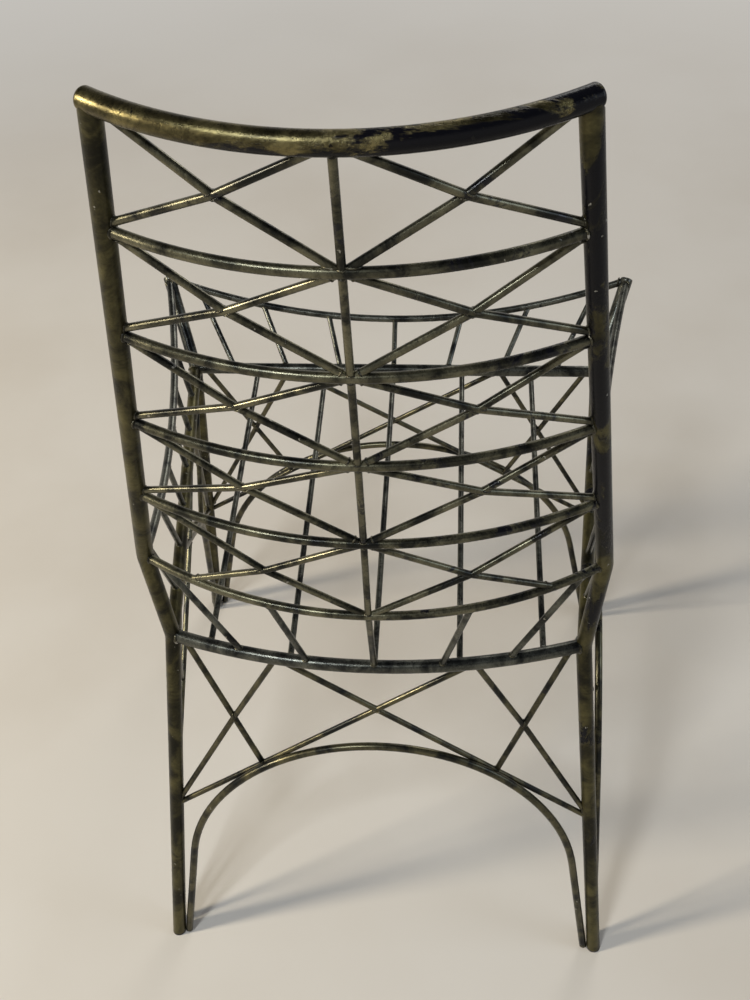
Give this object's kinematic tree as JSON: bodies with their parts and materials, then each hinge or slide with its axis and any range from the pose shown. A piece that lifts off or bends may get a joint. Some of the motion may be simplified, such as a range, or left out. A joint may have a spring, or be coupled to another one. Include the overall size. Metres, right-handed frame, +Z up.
{
  "type": "metal garden chair",
  "caption": "Armless garden chair of welded tube and rod, with a bowed cross-braced back, a flared open seat tray and arched braces between splayed legs.",
  "frame": {"origin": "on the floor, at the centre of the bounding box in plan", "axes": "+Z up, -Y the way a sitter faces, +X the sitter's left"},
  "size_m": [0.5278, 0.534, 0.9452],
  "materials": {
    "aged_steel": "dark olive-bronze lacquer on steel, worn glossy, with blackened patches and bright welds",
    "foot_plug": "matt black"
  },
  "bodies": {
    "root": {"back_brace_1_left": "aged_steel", "back_brace_1_right": "aged_steel", "back_brace_2_left": "aged_steel", "back_brace_2_right": "aged_steel", "back_brace_3_left": "aged_steel", "back_brace_3_right": "aged_steel", "back_brace_4_left": "aged_steel", "back_brace_4_right": "aged_steel", "back_brace_5_left": "aged_steel", "back_brace_5_right": "aged_steel", "back_rail_1": "aged_steel", "back_rail_2": "aged_steel", "back_rail_3": "aged_steel", "back_rail_4": "aged_steel", "back_rib": "aged_steel", "foot_plugs": "foot_plug", "front_apron_braces": "aged_steel", "front_arch": "aged_steel", "front_corner_post_left": "aged_steel", "front_corner_post_right": "aged_steel", "front_leg_left": "aged_steel", "front_leg_right": "aged_steel", "front_rim": "aged_steel", "front_seat_rail": "aged_steel", "front_struts": "aged_steel", "rear_apron_braces": "aged_steel", "rear_arch": "aged_steel", "rear_rim": "aged_steel", "rear_seat_rail": "aged_steel", "rear_struts": "aged_steel", "rear_upright_left": "aged_steel", "rear_upright_right": "aged_steel", "seat_slats": "aged_steel", "side_apron_braces_left": "aged_steel", "side_apron_braces_right": "aged_steel", "side_arch_left": "aged_steel", "side_arch_right": "aged_steel", "side_rim_left": "aged_steel", "side_rim_right": "aged_steel", "side_seat_rail_left": "aged_steel", "side_seat_rail_right": "aged_steel", "side_struts_left": "aged_steel", "side_struts_right": "aged_steel", "top_rail": "aged_steel", "top_rail_caps": "aged_steel"}
  },
  "joints": []
}
